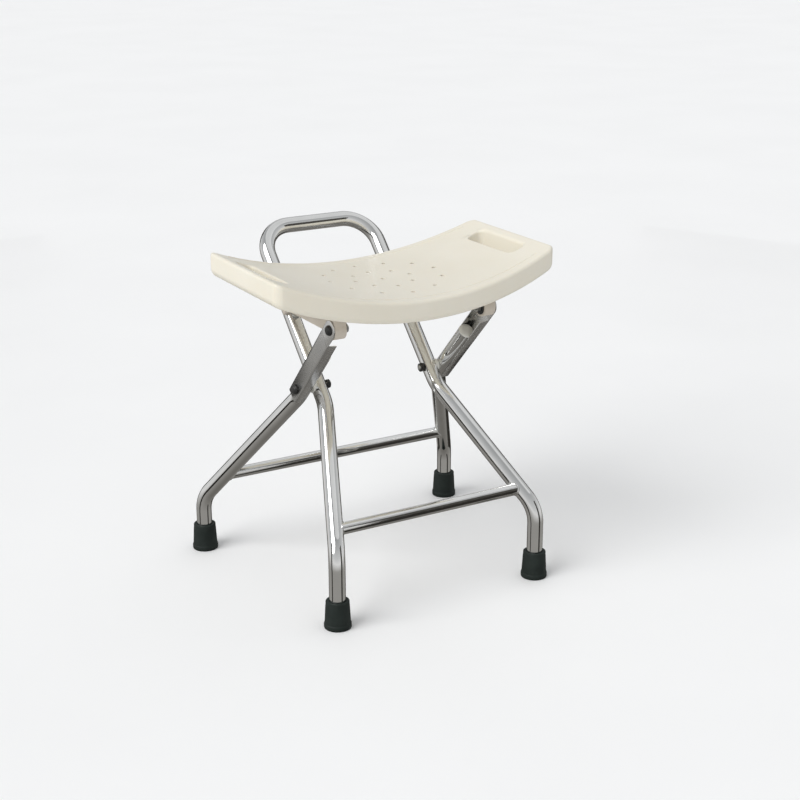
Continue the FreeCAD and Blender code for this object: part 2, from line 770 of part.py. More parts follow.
rail_middle = rail_inner + rail_width / 2
COUNTERBORE = 3
FRONT_SCREW_INSET = 40
REAR_SCREW_INSET = 18
rail_screw_places = [seat_pivot.y + FRONT_SCREW_INSET, seat_back, rail_end - REAR_SCREW_INSET]
rail_screws = [screw(f"rail_screw_{number}", rail_middle, back, rail_bottom + COUNTERBORE)
               for number, back in enumerate(rail_screw_places)]
counterbores = []
for number, back in enumerate(rail_screw_places):
    bore = doc.addObject("Part::Cylinder", f"rail_counterbore_{number}")
    bore.Radius = SCREW_HEAD_RADIUS
    bore.Height = COUNTERBORE + 1
    bore.Placement = FreeCAD.Placement(V(rail_middle, back, rail_bottom - 1), FreeCAD.Rotation())
    counterbores.append(bore)
screw_set = group(rail_screws, "rail_screw_set")

rail = node(cut(rail_blank, [seat_filler, lug_hole, screw_set] + counterbores, "seat_rail_right"),
            "seat_rail_right")
node(mirror(rail, "seat_rail_left"), "seat_rail_left")
saddle = node(cut(saddle_plate, [seat_filler, groove], "seat_saddle_right"), "seat_saddle_right")
node(mirror(saddle, "seat_saddle_left"), "seat_saddle_left")

# ---------------------------------------------------------------- rubber feet


SOLE_EASE = 1.5
SOLE_BAND = 7
BAND_STEP = 1.2
BAND_SLOPE = 2
COLLAR = 6
COLLAR_PROUD = 0.6


def foot_tip(name, foot):
    """Tapered rubber ferrule with a bore for the leg, turned about its own axis."""
    body = doc.addObject("PartDesign::Body", f"{name}_body")
    sketch = new_sketch(body, "XZ_Plane", f"{name}_half")
    radius = size("foot_radius")
    collar_radius = size("foot_top_radius") + COLLAR_PROUD
    tall = size("foot_height")
    floor = size("foot_floor")
    outline = [
        (0, 0), (radius - SOLE_EASE, 0), (radius, SOLE_EASE), (radius, SOLE_BAND),
        (radius - BAND_STEP, SOLE_BAND + BAND_SLOPE), (collar_radius, tall - COLLAR),
        (collar_radius, tall - BAND_STEP), (collar_radius - BAND_STEP, tall),
        (tube_radius, tall), (tube_radius, floor), (0, floor),
    ]
    points = [V(across, up, 0) for across, up in outline]
    for start, end in zip(points, points[1:] + points[:1]):
        sketch.addGeometry(Part.LineSegment(start, end))
    count = len(points)
    for number in range(count):
        sketch.addConstraint(Sketcher.Constraint("Coincident", number, 2, (number + 1) % count, 1))
    turned = body.newObject("PartDesign::Revolution", f"{name}_turned")
    turned.Profile = sketch
    turned.ReferenceAxis = (sketch, ["V_Axis"])
    turned.Angle = 360
    sketch.Visibility = False
    body.Placement = FreeCAD.Placement(V(foot.x, foot.y, 0), FreeCAD.Rotation())
    return node(body, name)


DISC_PLAY = 0.2


def tip_washer(name, foot):
    """Steel disc in the floor of a ferrule, under the end of the leg tube."""
    disc = doc.addObject("Part::Cylinder", name)
    disc.Radius = tube_radius - DISC_PLAY
    bind(disc, Height="Sizes.foot_washer")
    disc.Placement = FreeCAD.Placement(V(foot.x, foot.y, size("foot_floor")), FreeCAD.Rotation())
    return disc


for row_name, foot in (("front", front_foot), ("rear", rear_foot)):
    for side_name, spot in (("right", foot), ("left", left_of(foot))):
        foot_tip(f"{row_name}_foot_tip_{side_name}", spot)
    both_sides(tip_washer(f"{row_name}_tip_washer", foot), f"{row_name}_tip_washers")

both_sides(screw_set, "rail_screws")

# ---------------------------------------------------------------- check and write
doc.recompute()
for item in doc.Objects:
    faults = [state for state in item.State if state in ("Invalid", "Error")]
    if faults:
        raise RuntimeError(f"{item.Name} is {faults}")
for item in PARTS:
    if item.Shape.isNull() or not item.Shape.isValid():
        raise RuntimeError(f"{item.Label} has no valid shape")
    if not item.Shape.Solids:
        raise RuntimeError(f"{item.Label} has no solid")

os.makedirs("parts", exist_ok=True)
whole = FreeCAD.BoundBox()
for item in PARTS:
    item.Shape.exportStep(os.path.join("parts", f"{item.Label}.step"))
    whole.add(item.Shape.BoundBox)
    print(f"{item.Label:24s} solids {len(item.Shape.Solids)}  volume {item.Shape.Volume / 1000:8.2f} cm3")
print("parts", len(PARTS))
print("size", round(whole.XLength, 1), round(whole.YLength, 1), round(whole.ZLength, 1))
print("middle", round(whole.Center.x, 2), round(whole.Center.y, 2), "lowest", round(whole.ZMin, 3))
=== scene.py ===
# %% [markdown]
# # A folding shower stool
# A dished plastic seat stands on two crossing frames of chromed tube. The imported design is
# loaded first: it gives every place and axis, and the pieces made below are fitted to it.

# %% Load the frame
import json
import math

import bmesh
import bpy
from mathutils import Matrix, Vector


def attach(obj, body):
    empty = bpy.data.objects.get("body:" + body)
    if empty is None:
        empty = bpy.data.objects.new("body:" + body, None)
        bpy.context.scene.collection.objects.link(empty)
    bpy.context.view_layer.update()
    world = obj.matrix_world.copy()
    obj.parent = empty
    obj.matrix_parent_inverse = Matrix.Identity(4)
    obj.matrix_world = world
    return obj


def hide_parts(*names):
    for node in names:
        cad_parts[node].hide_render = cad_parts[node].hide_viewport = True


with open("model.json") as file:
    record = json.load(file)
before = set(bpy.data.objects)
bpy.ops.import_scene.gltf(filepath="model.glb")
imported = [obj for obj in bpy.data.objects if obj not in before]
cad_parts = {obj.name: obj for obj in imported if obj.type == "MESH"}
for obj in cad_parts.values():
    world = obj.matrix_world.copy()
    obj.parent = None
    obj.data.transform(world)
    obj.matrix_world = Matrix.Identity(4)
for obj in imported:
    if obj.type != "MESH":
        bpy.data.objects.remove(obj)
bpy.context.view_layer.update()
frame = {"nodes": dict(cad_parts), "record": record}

# %% [markdown]
# ## Selecting in code
# An operator acts on whatever is selected, so each step starts by selecting exactly one
# object, or exactly the faces, edges or corners that pass a test of their place. These short
# helpers do what a modeller does with the mouse.

# %% Selection helpers
MM = 0.001
NEAR = 0.01 * MM
UP = Vector((0, 0, 1))
ACROSS = Vector((1, 0, 0))


def only(piece):
    """Make one object the active and the only selected one."""
    if bpy.context.object and bpy.context.object.mode == "EDIT":
        bpy.ops.object.mode_set(mode="OBJECT")
    bpy.ops.object.select_all(action="DESELECT")
    piece.select_set(True)
    bpy.context.view_layer.objects.active = piece


def edit(piece):
    """Open one object in edit mode with everything in it selected."""
    only(piece)
    bpy.ops.object.mode_set(mode="EDIT")
    bpy.ops.mesh.select_all(action="SELECT")


def leave():
    """Back to object mode."""
    bpy.ops.object.mode_set(mode="OBJECT")


def pick(kind, test):
    """In edit mode, select only the corners, edges or faces that pass the test."""
    bpy.ops.mesh.select_mode(type=kind)
    bpy.ops.mesh.select_all(action="DESELECT")
    data = bpy.context.object.data
    mesh = bmesh.from_edit_mesh(data)
    items = {"VERT": mesh.verts, "EDGE": mesh.edges, "FACE": mesh.faces}[kind]
    for item in [item for item in items if test(item)]:
        item.select_set(True)
    bmesh.update_edit_mesh(data)


def edge_all(test):
    """A test for edges: both ends pass."""
    return lambda edge: all(test(corner.co) for corner in edge.verts)


print("helpers ready")

# %% [markdown]
# ## Finishing a piece
# A finished piece keeps its place in its mesh, so its object goes back to the origin. A
# turned part is drawn upright at the origin first, and this step lays it along its own axis.
# Spinning and mirroring can turn faces inside out, so normals are set outwards afterwards.

# %% Placing and finishing helpers


def settle(piece):
    """Put the object's place, turn and scale into its mesh."""
    only(piece)
    bpy.ops.object.transform_apply(location=True, rotation=True, scale=True)


def place(piece, spot, heading=UP):
    """Turn a piece made upright at the origin to a heading, and move it to its spot."""
    piece.rotation_euler = heading.to_track_quat("Z", "Y").to_euler()
    piece.location = spot
    settle(piece)


def outwards(piece):
    """Point every face outwards."""
    edit(piece)
    bpy.ops.mesh.normals_make_consistent(inside=False)
    leave()


def modify(piece, kind, **settings):
    """Add a modifier, set it and apply it."""
    only(piece)
    modifier = piece.modifiers.new(kind.title(), kind)
    for name, value in settings.items():
        setattr(modifier, name, value)
    bpy.ops.object.modifier_apply(modifier=modifier.name)


def smooth(piece, degrees=35):
    """Shade round faces smooth and keep the real edges crisp."""
    only(piece)
    bpy.ops.object.shade_smooth_by_angle(angle=math.radians(degrees))


def copy_of(piece, name):
    """A second object with its own mesh."""
    only(piece)
    bpy.ops.object.duplicate()
    twin = bpy.context.object
    twin.name = name
    return twin


def mirrored(piece, name):
    """The left-hand copy of a right-hand piece."""
    twin = copy_of(piece, name)
    twin.scale.x = -1
    settle(twin)
    outwards(twin)
    return twin


def joined(pieces, name):
    """Several pieces as one object."""
    only(pieces[0])
    for piece in pieces[1:]:
        piece.select_set(True)
    bpy.ops.object.join()
    pieces[0].name = name
    return pieces[0]


def carve(piece, cutter, operation="DIFFERENCE"):
    """Cut one solid with another, and throw the cutter away."""
    modify(piece, "BOOLEAN", operation=operation, solver="EXACT", object=cutter)
    bpy.data.objects.remove(cutter)


def turned(name, profile, sides=48):
    """A turned solid: a disc that is drawn up and widened along (radius, height) points."""
    radius, height = profile[0]
    bpy.ops.mesh.primitive_circle_add(
        vertices=sides, radius=radius * MM, fill_type="NGON", location=(0, 0, height * MM))
    piece = bpy.context.object
    piece.name = name
    settle(piece)
    edit(piece)
    for next_radius, next_height in profile[1:]:
        rise = (0, 0, (next_height - height) * MM)
        bpy.ops.mesh.extrude_region_move(TRANSFORM_OT_translate={"value": rise})
        share = next_radius / radius
        bpy.ops.transform.resize(value=(share, share, 1), center_override=(0, 0, 0))
        radius, height = next_radius, next_height
    leave()
    outwards(piece)
    return piece


print("finishing helpers ready")

# %% [markdown]
# ## Camera
# The stool is seen from its front left and from a little above, with a long lens that keeps the
# legs nearly parallel. A camera could be turned by hand until it looks right. Here it is given
# the point where it stands and the point it looks at, because those two are easy to change.

# %% Camera
EYE = Vector((-1.1372, -2.0415, 1.0654))
AIM = Vector((0.0302, -0.0254, 0.2728))
LENS = 69.05
SENSOR = 36

bpy.ops.object.camera_add(location=EYE, rotation=(AIM - EYE).to_track_quat("-Z", "Y").to_euler())
camera = bpy.context.object
camera.name = "camera"
camera.data.lens = LENS
camera.data.sensor_width = SENSOR
camera.data.dof.use_dof = False
bpy.context.scene.camera = camera
print("camera distance", round((AIM - EYE).length, 3))

# %% [markdown]
# ## Materials from nodes
# Every finish is a small node tree around one shader. Object coordinates keep a pattern fixed
# to the piece, noise breaks up the roughness, and a faint bump gives the light something to
# catch. The helper below makes the shared part, and each finish adds its own numbers.

# %% Material helper


def finish(name, base, other, spread, roughness, texture_scale, bump):
    """A material whose colour and roughness drift between two values over a noise."""
    material = bpy.data.materials.new(name)
    material.use_nodes = True
    nodes = material.node_tree.nodes
    links = material.node_tree.links
    shader = nodes["Principled BSDF"]
    place_node = nodes.new("ShaderNodeTexCoord")

    clouds = nodes.new("ShaderNodeTexNoise")
    clouds.inputs["Scale"].default_value = spread
    clouds.inputs["Detail"].default_value = 4
    links.new(place_node.outputs["Object"], clouds.inputs["Vector"])
    colour = nodes.new("ShaderNodeValToRGB")
    colour.color_ramp.elements[0].position = 0.3
    colour.color_ramp.elements[0].color = (*base, 1)
    colour.color_ramp.elements[1].position = 0.7
    colour.color_ramp.elements[1].color = (*other, 1)
    links.new(clouds.outputs["Fac"], colour.inputs["Fac"])
    links.new(colour.outputs["Color"], shader.inputs["Base Color"])

    grain = nodes.new("ShaderNodeTexNoise")
    grain.inputs["Scale"].default_value = texture_scale
    grain.inputs["Detail"].default_value = 6
    links.new(place_node.outputs["Object"], grain.inputs["Vector"])
    gloss = nodes.new("ShaderNodeMapRange")
    gloss.inputs["To Min"].default_value = roughness[0]
    gloss.inputs["To Max"].default_value = roughness[1]
    links.new(grain.outputs["Fac"], gloss.inputs["Value"])
    links.new(gloss.outputs["Result"], shader.inputs["Roughness"])

    relief = nodes.new("ShaderNodeBump")
    relief.inputs["Strength"].default_value = 1
    relief.inputs["Distance"].default_value = bump
    links.new(grain.outputs["Fac"], relief.inputs["Height"])
    links.new(relief.outputs["Normal"], shader.inputs["Normal"])
    return material, shader


print("material helper ready")

# %% [markdown]
# ## The finishes
# Bright chrome is nearly white metal with very low roughness, and faint clouding where it has
# been handled. The seat is cream plastic with a soft gloss and a fine moulded grain, a little
# light goes into it. Rubber is almost black and dull, with a slightly rough skin.

# %% Finishes
CHROME, chrome_shader = finish(
    "chrome_tube", (0.74, 0.74, 0.73), (0.82, 0.82, 0.81), 18, (0.05, 0.11), 90, 0.000004)
chrome_shader.inputs["Metallic"].default_value = 1

PLATE, plate_shader = finish(
    "chrome_plate", (0.66, 0.66, 0.66), (0.76, 0.76, 0.75), 30, (0.2, 0.32), 400, 0.000006)
plate_shader.inputs["Metallic"].default_value = 1

ZINC, zinc_shader = finish(
    "zinc_steel", (0.42, 0.42, 0.4), (0.55, 0.55, 0.52), 120, (0.28, 0.45), 600, 0.00002)
zinc_shader.inputs["Metallic"].default_value = 1

CREAM, cream_shader = finish(
    "seat_plastic", (0.755, 0.71, 0.6), (0.785, 0.745, 0.645), 9, (0.3, 0.46), 900, 0.00006)
cream_shader.inputs["Subsurface Weight"].default_value = 0.06
cream_shader.inputs["Subsurface Radius"].default_value = (0.004, 0.003, 0.002)
cream_shader.inputs["IOR"].default_value = 1.49

BEIGE = finish(
    "rail_plastic", (0.5, 0.445, 0.375), (0.56, 0.505, 0.43), 14, (0.42, 0.6), 700, 0.00008)[0]

BLACK = finish(
    "black_plastic", (0.012, 0.012, 0.012), (0.022, 0.022, 0.021), 60, (0.32, 0.5), 800, 0.00004)[0]

NYLON = finish(
    "white_nylon", (0.72, 0.71, 0.66), (0.78, 0.77, 0.72), 60, (0.35, 0.5), 500, 0.00004)[0]

RUBBER, rubber_shader = finish(
    "black_rubber", (0.009, 0.014, 0.012), (0.017, 0.024, 0.021), 40, (0.5, 0.75), 650, 0.00012)
rubber_shader.inputs["Specular IOR Level"].default_value = 0.25

FINISHES = {
    "chrome_tube": CHROME,
    "chrome_plate": PLATE,
    "zinc_steel": ZINC,
    "seat_plastic": CREAM,
    "rail_plastic": BEIGE,
    "black_plastic": BLACK,
    "white_nylon": NYLON,
    "black_rubber": RUBBER,
}
print("finishes", len(FINISHES))

# %% [markdown]
# ## Handing a piece over
# The stool folds, so every piece has to know what it moves with. Each new piece rides on one
# body of the design, stands for one of its plain nodes, and takes the finish that the record
# names for that node. A helper does all three, so that none of them is forgotten.

# %% Hand-over helper
SLOT_OF = {row["node"]: row["material_slot"] for row in frame["record"]["subparts"]}
BODIES = frame["record"]["behaviour"]["bodies"]
BODY_OF = {node: body for body, nodes in BODIES.items() for node in nodes}


def hand_over(piece, node):
    """Give a piece its finish and its body, and let it stand for its plain node."""
    slot = SLOT_OF[node]
    piece.data.materials.clear()
    piece.data.materials.append(FINISHES[slot])
    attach(piece, BODY_OF[node])
    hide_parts(node)
    print(piece.name, "faces", len(piece.data.polygons), "on", BODY_OF[node])


# %% [markdown]
# ## Bent tube
# A tube bender feeds straight tube, then rolls it round a former. The same two moves make
# the mesh: a ring is extruded along each straight run and spun round each bend, and the
# Solidify modifier gives the skin its wall. The ring stays square to the path throughout.

# %% Tube helper
TUBE_SIDES = 40
BEND_STEPS = 14


def tube(name, points, radii, radius, wall):
    """A hollow tube along straight runs, with a bend of the given radius at each inner point."""
    heading = (points[1] - points[0]).normalized()
    bpy.ops.mesh.primitive_circle_add(
        vertices=TUBE_SIDES, radius=radius, fill_type="NOTHING",
        location=points[0], rotation=heading.to_track_quat("Z", "Y").to_euler())
    piece = bpy.context.object
    piece.name = name
    settle(piece)
    edit(piece)
    spot = points[0]
    for before, corner, after, bend in zip(points, points[1:], points[2:], radii):
        into = (corner - before).normalized()
        out = (after - corner).normalized()
        turn = into.angle(out)
        reach = bend * math.tan(turn / 2)
        start = corner - into * reach
        axle = into.cross(out).normalized()
        bpy.ops.mesh.extrude_region_move(TRANSFORM_OT_translate={"value": start - spot})
        bpy.ops.mesh.spin(
            steps=BEND_STEPS, angle=-turn, center=start + axle.cross(into) * bend, axis=axle)
        spot = corner + out * reach
    bpy.ops.mesh.extrude_region_move(TRANSFORM_OT_translate={"value": points[-1] - spot})
    bpy.ops.mesh.select_all(action="SELECT")
    bpy.ops.mesh.remove_doubles(threshold=0.00001)
    leave()
    outwards(piece)
    modify(piece, "SOLIDIFY", thickness=wall, offset=-1)
    smooth(piece)
    return piece


def point(*millimetres):
    """A point given in millimetres."""
    return Vector(millimetres) * MM


def left_of(spot):
    """The mirror image of a right-hand point."""
    return Vector((-spot.x, spot.y, spot.z))


print("tube helper ready")

# %% [markdown]
# ## The front frame
# One long tube makes both front legs, the upper rails and the carrying handle. Only its right
# half is laid out, and the left half mirrors it. Its feet stand inside the rubber tips.

# %% Front frame tube
TUBE_RADIUS = 12.7 * MM
TUBE_WALL = 1.2 * MM
TUBE_END = 9.5
FRONT_FOOT = point(178.5, -199.5, TUBE_END)
FRONT_BEND = point(178.5, -199.5, 117)
FRONT_SPLAY = point(101.5, -20, 287.5)
HANDLE_CORNER = point(101.5, 207.8, 523)
FRONT_RADII = [55 * MM, 90 * MM, 52 * MM]

right_run = [FRONT_FOOT, FRONT_BEND, FRONT_SPLAY, HANDLE_CORNER]
front_points = right_run + [left_of(spot) for spot in reversed(right_run)]
front_tube = tube("front_tube", front_points, FRONT_RADII + FRONT_RADII[::-1], TUBE_RADIUS, TUBE_WALL)
hand_over(front_tube, "front_frame_tube")

# %% [markdown]
# ## The rear legs
# Each rear leg bends twice, stands outside the front tube where the two cross, and ends part
# of the way up inside its channel. It is made with the same tube helper as the front frame, and
# the left one is a mirrored copy, so that both always match.

# %% Rear legs
pivots = {joint["name"]: Vector(joint["pos_m"]) for joint in frame["record"]["behaviour"]["joints"]}
CROSSING = pivots["leg_fold"]
SEAT_PIVOT = pivots["seat_flip"]
LINK = (SEAT_PIVOT - CROSSING).normalized()
LINK_LENGTH = (SEAT_PIVOT - CROSSING).length
LEG_X = 127.7 * MM
LEG_TOP = 100 * MM
LEG_KNEE = 25 * MM
REAR_FOOT = point(235, 169, TUBE_END)
REAR_BEND = point(235, 169, 90)
REAR_RADII = [55 * MM, 55 * MM]

leg_axis = CROSSING + ACROSS * LEG_X
leg_knee = leg_axis - LINK * LEG_KNEE
leg_points = [REAR_FOOT, REAR_BEND, leg_knee, leg_axis + LINK * LEG_TOP]
rear_right = tube("rear_leg_tube_right", leg_points, REAR_RADII, TUBE_RADIUS, TUBE_WALL)
rear_left = mirrored(rear_right, "rear_leg_tube_left")
smooth(rear_left)
hand_over(rear_right, "rear_leg_right")
hand_over(rear_left, "rear_leg_left")

# %% [markdown]
# ## Plugs in the tube ends
# The upper end of each rear leg shows inside its channel, closed by a pale push-in plug: a
# shank inside the tube and a low dome on its rim. Such a round part is quickest as a profile
# of radius and height, drawn up ring by ring as on a lathe.

# %% Tube end plugs
PLUG_PROFILE = [
    (11.3, -9), (11.3, 0.05), (12.3, 0.05), (12.5, 0.5), (12.1, 1.5), (9.5, 2.5), (5, 3), (1, 3.1),
]
plug = turned("tube_end_plug", PLUG_PROFILE, 40)
place(plug, leg_axis + LINK * LEG_TOP, LINK)
plugs = joined([plug, mirrored(plug, "tube_end_plug_left")], "tube_end_plug_pair")
smooth(plugs)
plugs.data.materials.append(NYLON)
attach(plugs, "rear_frame")
print("plugs close the tube ends")

# %% [markdown]
# ## Cross braces and their welds
# A brace is a plain tube cut to fit against the legs. Its ends run on inside the leg tubes,
# where they can't be seen. A weld bead follows the curve where two tubes meet: a ring is
# shrunk on to the leg, turned into a curve and given a round section.

# %% Braces
BRACE_RADIUS = 9.5 * MM
BRACE_WALL = 1.0 * MM
BEAD_RADIUS = 1.3 * MM
BEAD_SIDES = 48
BEAD_CLEAR = 0.4 * MM
FRONT_BRACE_HEIGHT = 144 * MM
REAR_BRACE_HEIGHT = 137.3 * MM


def weld_bead(name, leg, middle, side):
    """A bead round the end of a brace, lying on the leg's surface."""
    reach = side * TUBE_RADIUS
    bpy.ops.mesh.primitive_circle_add(
        vertices=BEAD_SIDES, radius=BRACE_RADIUS + BEAD_CLEAR, fill_type="NOTHING",
        location=middle - ACROSS * reach * 2, rotation=(0, math.pi / 2, 0))
    ring = bpy.context.object
    settle(ring)
    modify(ring, "SHRINKWRAP", target=leg, wrap_method="PROJECT", use_project_x=True,
           use_positive_direction=True, use_negative_direction=True)
    only(ring)
    bpy.ops.object.convert(target="CURVE")
    ring.data.bevel_depth = BEAD_RADIUS
    ring.data.bevel_resolution = 3
    bpy.ops.object.convert(target="MESH")
    ring = bpy.context.object
    ring.name = name
    return ring


def brace(name, node, start, end, height, legs):
    """A cross tube between two legs, with a bead at each end."""
    middle = start + (end - start) * ((height - start.z) / (end.z - start.z))
    bar = tube(name, [left_of(middle), middle], [], BRACE_RADIUS, BRACE_WALL)
    beads = [weld_bead(f"{name}_bead", legs[0], middle, 1),
             weld_bead(f"{name}_bead", legs[1], left_of(middle), -1)]
    piece = joined([bar] + beads, name)
    smooth(piece)
    hand_over(piece, node)


brace("front_brace_tube", "front_brace", FRONT_BEND, FRONT_SPLAY, FRONT_BRACE_HEIGHT,
      [front_tube, front_tube])
brace("rear_brace_tube", "rear_brace", REAR_BEND, leg_knee, REAR_BRACE_HEIGHT,
      [rear_right, rear_left])

# %% [markdown]
# ## Rubber tips
# The tips are moulded in one: a tapered body, a collar at the top, a flat sole with a grip
# ring, and a bore that takes the tube. Drawing the rings of such a part up one after another
# is the same as turning it on a lathe.

# %% Rubber tips
TIP_PROFILE = [
    (8, 1.2), (9, 0), (13, 0), (14, 1.2), (15.5, 1.2), (16.5, 0), (19.6, 0), (20.6, 0.5), (21, 1.6),
    (21, 6.6), (20.7, 7.6), (19.9, 8.6), (18.4, 36.6), (18.1, 38), (18.1, 42.4), (17.8, 43.4),
    (17, 44), (14, 44), (13.2, 43.7), (12.7, 42.8), (12.7, 9.6),
]

tip = turned("rubber_tip", TIP_PROFILE, 64)
smooth(tip, 28)
for row, foot in (("front", FRONT_FOOT), ("rear", REAR_FOOT)):
    for side, spot in (("right", foot), ("left", left_of(foot))):
        rubber = copy_of(tip, f"{row}_rubber_tip_{side}")
        place(rubber, Vector((spot.x, spot.y, 0)))
        hand_over(rubber, f"{row}_foot_tip_{side}")
bpy.data.objects.remove(tip)

# %% [markdown]
# ## Pressed channels
# A flat blank is folded into a channel that holds the top of the rear leg and reaches on to
# the seat as a round-ended tongue. Here the web is one plane, its long edges are extruded
# into flanges, the folds are bevelled, and Solidify gives the sheet its thickness.

# %% Channels
SHEET = 1.8 * MM
WEB_X = 142.2 * MM
CHANNEL_DEPTH = 16 * MM
CHANNEL_HALF = 14.6 * MM
CHANNEL_FOOT = 20 * MM
FLANGE_TOP = LINK_LENGTH - 26 * MM
FOLD_RADIUS = 4.5 * MM
TILT = math.atan2(-LINK.y, LINK.z)

bpy.ops.mesh.primitive_plane_add(
    size=1, location=(WEB_X, 0, (FLANGE_TOP - CHANNEL_FOOT) / 2), rotation=(0, math.pi / 2, 0))
channel = bpy.context.object
channel.name = "pressed_channel_right"
channel.scale = (FLANGE_TOP + CHANNEL_FOOT, 2 * CHANNEL_HALF, 1)
settle(channel)
edit(channel)
pick("EDGE", lambda edge: abs(edge.verts[0].co.y - edge.verts[1].co.y) < NEAR)
bpy.ops.mesh.extrude_region_move(TRANSFORM_OT_translate={"value": (-CHANNEL_DEPTH, 0, 0)})
pick("EDGE", edge_all(lambda co: co.z > FLANGE_TOP - NEAR and co.x > WEB_X - NEAR))
tongue = LINK_LENGTH + CHANNEL_HALF - FLANGE_TOP
bpy.ops.mesh.extrude_region_move(TRANSFORM_OT_translate={"value": (0, 0, tongue)})
pick("VERT", lambda corner: corner.co.z > LINK_LENGTH)
bpy.ops.mesh.bevel(offset=CHANNEL_HALF * 0.99, segments=12, affect="VERTICES")
pick("EDGE", edge_all(lambda co: co.x > WEB_X - NEAR and abs(abs(co.y) - CHANNEL_HALF) < NEAR
                      and co.z < FLANGE_TOP + NEAR))
bpy.ops.mesh.bevel(offset=FOLD_RADIUS, segments=6, affect="EDGES")
bpy.ops.mesh.select_all(action="SELECT")
bpy.ops.mesh.remove_doubles(threshold=NEAR)
leave()
outwards(channel)
print("channel faces", len(channel.data.polygons))

# %% [markdown]
# ## Sheet thickness
# A press leaves an even sheet with slightly broken edges. Solidify could thicken to either
# side, so the normal of the widest face, the web, is read first, and the sheet grows inwards
# from it. A narrow bevel takes the sharpness off every edge, and the channel is tilted last.

# %% Channel thickness and place
EDGE_BREAK = 0.35 * MM

web_normal = max(channel.data.polygons, key=lambda face: face.area).normal.x
modify(channel, "SOLIDIFY", thickness=SHEET, offset=-1 if web_normal > 0 else 1)
modify(channel, "BEVEL", width=EDGE_BREAK, segments=2, limit_method="ANGLE",
       angle_limit=math.radians(50))
channel.rotation_euler = (TILT, 0, 0)
channel.location = CROSSING
settle(channel)
outwards(channel)
smooth(channel)
channel_left = mirrored(channel, "pressed_channel_left")
smooth(channel_left)
hand_over(channel, "link_channel_right")
hand_over(channel_left, "link_channel_left")

# %% [markdown]
# ## Bolts, nuts and caps
# The fasteners are small but they are what the eye looks for at a joint. Each bolt has a
# threaded end with a chamfer, each nut has its corners turned off, and each head wears a
# domed black cap.

# %% Turned fastener blanks
HEAD_RADIUS = 6.5
NUT_RADIUS = 7.5
NUT_HEIGHT = 6
CAP_RADIUS = 8
CAP_HEIGHT = 5.5
THREAD_PITCH = 1.25
THREAD_TURNS = 7


def bolt(name, length):
    """A bolt from its chamfered tip at the origin to its head, `length` above."""
    profile = [(3.1, 0), (3.7, 0.5)]
    for turn in range(THREAD_TURNS):
        height = 0.5 + turn * THREAD_PITCH
        profile += [(4, height + 0.5), (4, height + 0.7), (3.5, height + 1.2)]
    start = 0.5 + THREAD_TURNS * THREAD_PITCH
    profile += [(4, start + 0.4), (4, length), (HEAD_RADIUS, length), (HEAD_RADIUS, length + 2.4),
                (HEAD_RADIUS - 0.6, length + 3)]
    return turned(name, profile, 32)


def nut(name):
    """A hexagon nut with chamfered corners and a bore."""
    bpy.ops.mesh.primitive_cylinder_add(
        vertices=6, radius=NUT_RADIUS * MM, depth=NUT_HEIGHT * MM, location=(0, 0, NUT_HEIGHT * MM / 2))
    blank = bpy.context.object
    blank.name = name
    settle(blank)
    inner = NUT_RADIUS * math.cos(math.pi / 6)
    chamfer = turned("chamfer", [(inner, 0), (NUT_RADIUS + 0.1, 1), (NUT_RADIUS + 0.1, NUT_HEIGHT - 1),
                                 (inner, NUT_HEIGHT)])
    carve(blank, chamfer, "INTERSECT")
    bore = turned("bore", [(4.9, -0.1), (4.05, 0.8), (4.05, NUT_HEIGHT - 0.8), (4.9, NUT_HEIGHT + 0.1)], 32)
    carve(blank, bore)
    return blank


def cap(name):
    """A domed push-on cap with a small brim."""
    return turned(name, [
        (CAP_RADIUS - 0.5, 0.1), (CAP_RADIUS, 0.5), (CAP_RADIUS, 1.4), (CAP_RADIUS - 0.5, 1.9),
        (CAP_RADIUS - 0.7, 3), (CAP_RADIUS - 1.5, 4.2), (CAP_RADIUS - 3, 5),
        (CAP_RADIUS - 5, CAP_HEIGHT - 0.1), (1, CAP_HEIGHT)], 40)


print("fastener helpers ready")

# %% [markdown]
# ## Fasteners at both pivots
# Both pivots use the same set at different places, so one loop makes them. The right-hand
# set is built and mirrored. The caps are outermost, and the nuts are on the inner side.

# %% Fasteners
PIVOT_SETS = (
    ("frame_pivot", CROSSING, 80.8, 82.8, 142.5),
    ("seat_pivot", SEAT_PIVOT, 111.1, 113.1, 142.2),
)


def pair(piece, spot, heading, name, node):
    """Lay a piece along its axis, mirror it, and hand both over as one."""
    place(piece, spot, heading)
    both = joined([piece, mirrored(piece, f"{name}_left")], name)
    smooth(both)
    hand_over(both, node)


for name, pivot, tip_x, nut_x, head_x in PIVOT_SETS:
    pair(bolt(f"{name}_bolt", head_x - tip_x), pivot + ACROSS * tip_x * MM, ACROSS,
         f"{name}_bolt_pair", f"{name}_bolts")
    pair(nut(f"{name}_nut"), pivot + ACROSS * nut_x * MM, ACROSS, f"{name}_nut_pair", f"{name}_nuts")
    pair(cap(f"{name}_cap"), pivot + ACROSS * head_x * MM, ACROSS, f"{name}_cap_pair", f"{name}_caps")

WASHER_X = 119.1 * MM
washer = turned("pivot_washer", [(11.6, 0), (12, 0.3), (12, 1.2), (11.6, 1.5)])
pair(washer, SEAT_PIVOT + ACROSS * WASHER_X, ACROSS, "pivot_washer_pair", "seat_pivot_washers")

# %% [markdown]
# ## Stop screws
# A pan-head screw on each upper tube stops the seat's saddle from sliding. The shank and head
# are one turned profile. The cross recess is cut with two thin blades, because a cut is easier
# to place and to change than a recess drawn into the head's own faces.

